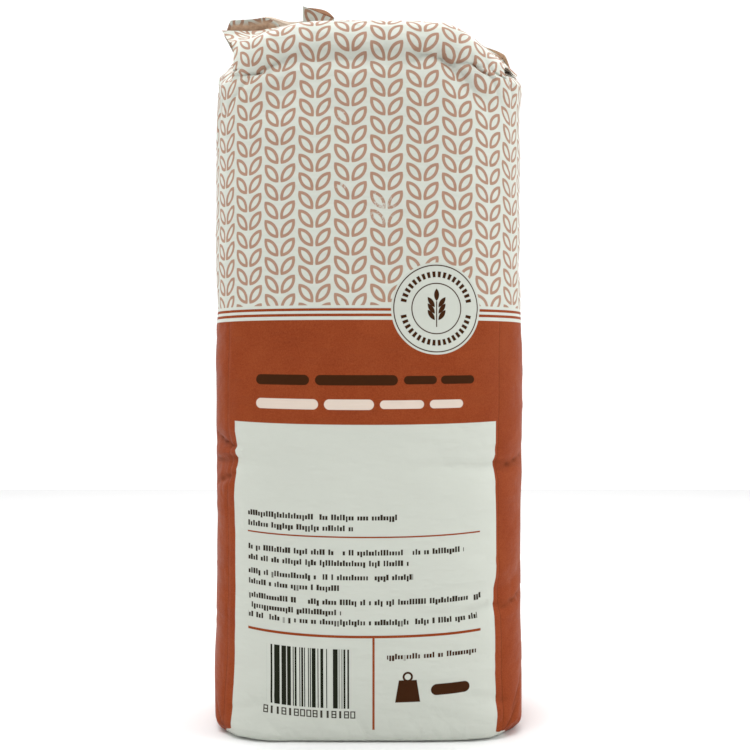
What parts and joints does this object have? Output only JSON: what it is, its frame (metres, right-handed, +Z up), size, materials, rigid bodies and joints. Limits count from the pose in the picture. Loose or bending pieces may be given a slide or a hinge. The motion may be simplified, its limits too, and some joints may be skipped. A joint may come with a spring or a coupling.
{
  "type": "paper bag of flour",
  "caption": "Full upright paper bag of flour with a block bottom and a closed gable top whose tucked side gussets stand out as two small ears.",
  "frame": {"origin": "middle of the flat base the bag stands on", "axes": "+Z up, -Y towards the printed front, +X to the right of someone looking at the front"},
  "size_m": [0.1724, 0.1239, 0.4025],
  "materials": {
    "printed_paper": "satin coated paper, off-white, with rose-brown, rust-brown and dark brown print"
  },
  "bodies": {
    "root": {"bag": "printed_paper"}
  },
  "joints": []
}
